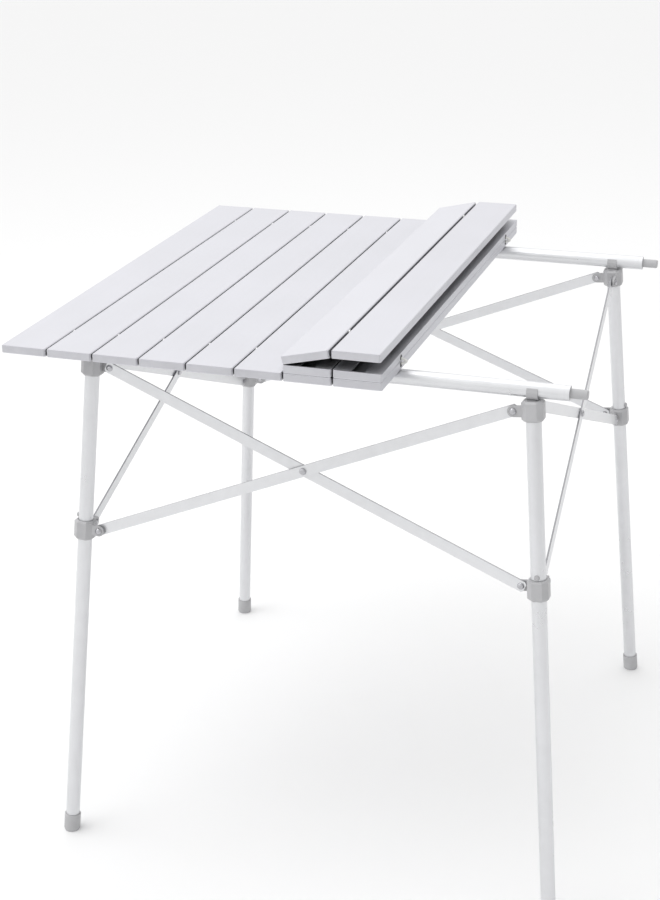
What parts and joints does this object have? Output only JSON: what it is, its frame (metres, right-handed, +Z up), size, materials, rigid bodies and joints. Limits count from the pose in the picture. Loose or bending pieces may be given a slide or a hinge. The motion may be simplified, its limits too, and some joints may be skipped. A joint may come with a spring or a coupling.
{
  "type": "folding camping table",
  "caption": "Portable folding table with a roll-up slatted aluminium top on two loose rails, carried by four splayed tube legs joined by crossed scissor braces",
  "frame": {"origin": "on the floor, under the middle of the overall size", "axes": "X runs along the rails (slat 1 at -X, the folded slats at +X), Y runs along the slats from front to rear, +Z is up"},
  "size_m": [0.6808, 0.686, 0.7154],
  "materials": {
    "slats": "fine satin silver anodised, with a faint extrusion grain along the slat",
    "tubes": "smooth bright silver anodised",
    "braces": "plain bright flat bar",
    "fittings": "mid-grey moulded plastic, slightly glossy",
    "feet": "mid-grey moulded plastic",
    "rivets": "bright domed steel"
  },
  "bodies": {
    "front_left_leg": {"front_left_leg_tube": "tubes", "front_left_hub": "fittings", "front_left_foot": "feet"},
    "front_left_slider": {"front_left_slider": "fittings"},
    "front_right_leg": {"front_right_leg_tube": "tubes", "front_right_hub": "fittings", "front_right_foot": "feet"},
    "front_right_slider": {"front_right_slider": "fittings"},
    "rear_right_leg": {"rear_right_leg_tube": "tubes", "rear_right_hub": "fittings", "rear_right_foot": "feet"},
    "rear_right_slider": {"rear_right_slider": "fittings"},
    "rear_left_leg": {"rear_left_leg_tube": "tubes", "rear_left_hub": "fittings", "rear_left_foot": "feet"},
    "rear_left_slider": {"rear_left_slider": "fittings"},
    "front_inner_brace": {"front_inner_brace": "braces", "front_brace_rivet": "rivets"},
    "front_outer_brace": {"front_outer_brace": "braces"},
    "right_inner_brace": {"right_inner_brace": "braces", "right_brace_rivet": "rivets"},
    "right_outer_brace": {"right_outer_brace": "braces"},
    "rear_inner_brace": {"rear_inner_brace": "braces", "rear_brace_rivet": "rivets"},
    "rear_outer_brace": {"rear_outer_brace": "braces"},
    "left_inner_brace": {"left_inner_brace": "braces", "left_brace_rivet": "rivets"},
    "left_outer_brace": {"left_outer_brace": "braces"},
    "tabletop": {"slat_07": "slats", "slat_08": "slats"},
    "front_rail": {"front_rail": "tubes", "front_rail_left_plug": "fittings", "front_rail_right_plug": "fittings"},
    "rear_rail": {"rear_rail": "tubes", "rear_rail_left_plug": "fittings", "rear_rail_right_plug": "fittings"},
    "slat_06": {"slat_06": "slats"},
    "slat_05": {"slat_05": "slats"},
    "slat_04": {"slat_04": "slats"},
    "slat_03": {"slat_03": "slats"},
    "slat_02": {"slat_02": "slats"},
    "slat_01": {"slat_01": "slats", "slat_01_front_socket": "fittings", "slat_01_rear_socket": "fittings"},
    "stack": {"slat_09": "slats", "slat_10": "slats"},
    "slat_11": {"slat_11": "slats"},
    "slat_12": {"slat_12": "slats", "slat_12_front_socket": "fittings", "slat_12_rear_socket": "fittings"}
  },
  "joints": [
    {"name": "frame_fold", "type": "hinge", "parent": "front_left_leg", "child": "front_inner_brace", "pos_m": [-0.23789, -0.26949, 0.63903], "axis": [0, 0.9967, -0.0807], "range_deg": [0, 69.16]},
    {"name": "front_cross", "type": "hinge", "parent": "front_inner_brace", "child": "front_outer_brace", "pos_m": [0.0096, -0.27773, 0.53821], "axis": [0, -0.9967, 0.0807], "range_deg": [0, 129.11]},
    {"name": "front_right_turn", "type": "hinge", "parent": "front_outer_brace", "child": "front_right_leg", "pos_m": [0.25709, -0.26949, 0.63903], "axis": [0, -0.9967, 0.0807], "range_deg": [-69.16, 0]},
    {"name": "right_fold", "type": "hinge", "parent": "front_right_leg", "child": "right_inner_brace", "pos_m": [0.27909, -0.24749, 0.63903], "axis": [0.9967, 0, 0.0807], "range_deg": [-69.16, 0]},
    {"name": "right_cross", "type": "hinge", "parent": "right_inner_brace", "child": "right_outer_brace", "pos_m": [0.28733, 0, 0.53821], "axis": [0.9967, 0, 0.0807], "range_deg": [0, 129.11]},
    {"name": "rear_right_turn", "type": "hinge", "parent": "right_outer_brace", "child": "rear_right_leg", "pos_m": [0.27909, 0.24749, 0.63903], "axis": [0.9967, 0, 0.0807], "range_deg": [-69.16, 0]},
    {"name": "left_fold", "type": "hinge", "parent": "front_left_leg", "child": "left_outer_brace", "pos_m": [-0.25989, -0.24749, 0.63903], "axis": [-0.9967, 0, 0.0807], "range_deg": [0, 69.16]},
    {"name": "left_cross", "type": "hinge", "parent": "left_outer_brace", "child": "left_inner_brace", "pos_m": [-0.26813, 0, 0.53821], "axis": [-0.9967, 0, 0.0807], "range_deg": [-129.11, 0]},
    {"name": "rear_left_turn", "type": "hinge", "parent": "left_inner_brace", "child": "rear_left_leg", "pos_m": [-0.25989, 0.24749, 0.63903], "axis": [-0.9967, 0, 0.0807], "range_deg": [0, 69.16]},
    {"name": "rear_fold", "type": "hinge", "parent": "rear_left_leg", "child": "rear_outer_brace", "pos_m": [-0.23789, 0.26949, 0.63903], "axis": [0, 0.9967, 0.0807], "range_deg": [0, 69.16]},
    {"name": "rear_cross", "type": "hinge", "parent": "rear_outer_brace", "child": "rear_inner_brace", "pos_m": [0.0096, 0.27773, 0.53821], "axis": [0, 0.9967, 0.0807], "range_deg": [-129.11, 0]},
    {"name": "front_left_slide", "type": "slide", "parent": "front_left_leg", "child": "front_left_slider", "axis": [-0.0805, -0.0805, -0.9935], "range_m": [0, 0.34283]},
    {"name": "front_right_slide", "type": "slide", "parent": "front_right_leg", "child": "front_right_slider", "axis": [0.0805, -0.0805, -0.9935], "range_m": [0, 0.34283]},
    {"name": "rear_right_slide", "type": "slide", "parent": "rear_right_leg", "child": "rear_right_slider", "axis": [0.0805, 0.0805, -0.9935], "range_m": [0, 0.34283]},
    {"name": "rear_left_slide", "type": "slide", "parent": "rear_left_leg", "child": "rear_left_slider", "axis": [-0.0805, 0.0805, -0.9935], "range_m": [0, 0.34283]},
    {"name": "top_lift", "type": "slide", "parent": "front_left_leg", "child": "tabletop", "axis": [0, 0, 1], "range_m": [0, 0.28]},
    {"name": "front_rail_out", "type": "slide", "parent": "tabletop", "child": "front_rail", "axis": [1, 0, 0], "range_m": [0, 0.72]},
    {"name": "rear_rail_out", "type": "slide", "parent": "tabletop", "child": "rear_rail", "axis": [1, 0, 0], "range_m": [0, 0.72]},
    {"name": "top_roll", "type": "hinge", "parent": "tabletop", "child": "slat_06", "pos_m": [0.0096, 0, 0.68315], "axis": [0, 1, 0], "range_deg": [0, 45]},
    {"name": "slat_05_roll", "type": "hinge", "parent": "slat_06", "child": "slat_05", "pos_m": [-0.04873, 0, 0.68315], "axis": [0, 1, 0], "range_deg": [0, 45]},
    {"name": "slat_04_roll", "type": "hinge", "parent": "slat_05", "child": "slat_04", "pos_m": [-0.10707, 0, 0.68315], "axis": [0, 1, 0], "range_deg": [0, 45]},
    {"name": "slat_03_roll", "type": "hinge", "parent": "slat_04", "child": "slat_03", "pos_m": [-0.1654, 0, 0.68315], "axis": [0, 1, 0], "range_deg": [0, 45]},
    {"name": "slat_02_roll", "type": "hinge", "parent": "slat_03", "child": "slat_02", "pos_m": [-0.22373, 0, 0.68315], "axis": [0, 1, 0], "range_deg": [0, 45]},
    {"name": "slat_01_roll", "type": "hinge", "parent": "slat_02", "child": "slat_01", "pos_m": [-0.28207, 0, 0.68315], "axis": [0, 1, 0], "range_deg": [0, 45]},
    {"name": "stack_unfold", "type": "hinge", "parent": "tabletop", "child": "stack", "pos_m": [0.12627, 0, 0.68315], "axis": [0, 1, 0], "range_deg": [0, 180]},
    {"name": "slat_11_unfold", "type": "hinge", "parent": "stack", "child": "slat_11", "pos_m": [0.0096, 0, 0.69285], "axis": [0, 1, 0], "range_deg": [-167.12, 0]},
    {"name": "slat_12_unfold", "type": "hinge", "parent": "slat_11", "child": "slat_12", "pos_m": [0.06647, 0, 0.70585], "axis": [0, 1, 0], "range_deg": [-12.88, 0]}
  ],
  "couplings": [
    {"joint": "front_cross", "follows": "frame_fold", "ratio": 1.8668},
    {"joint": "front_right_turn", "follows": "frame_fold", "ratio": -1},
    {"joint": "right_fold", "follows": "frame_fold", "ratio": -1},
    {"joint": "right_cross", "follows": "frame_fold", "ratio": 1.8668},
    {"joint": "rear_right_turn", "follows": "frame_fold", "ratio": -1},
    {"joint": "left_fold", "follows": "frame_fold", "ratio": 1},
    {"joint": "left_cross", "follows": "frame_fold", "ratio": -1.8668},
    {"joint": "rear_left_turn", "follows": "frame_fold", "ratio": 1},
    {"joint": "rear_fold", "follows": "frame_fold", "ratio": 1},
    {"joint": "rear_cross", "follows": "frame_fold", "ratio": -1.8668},
    {"joint": "front_left_slide", "follows": "frame_fold", "m_per_rad": 0.28401},
    {"joint": "front_right_slide", "follows": "frame_fold", "m_per_rad": 0.28401},
    {"joint": "rear_right_slide", "follows": "frame_fold", "m_per_rad": 0.28401},
    {"joint": "rear_left_slide", "follows": "frame_fold", "m_per_rad": 0.28401},
    {"joint": "slat_05_roll", "follows": "top_roll", "ratio": 1},
    {"joint": "slat_04_roll", "follows": "top_roll", "ratio": 1},
    {"joint": "slat_03_roll", "follows": "top_roll", "ratio": 1},
    {"joint": "slat_02_roll", "follows": "top_roll", "ratio": 1},
    {"joint": "slat_01_roll", "follows": "top_roll", "ratio": 1},
    {"joint": "slat_11_unfold", "follows": "stack_unfold", "ratio": -0.92846},
    {"joint": "slat_12_unfold", "follows": "stack_unfold", "ratio": -0.071538}
  ]
}
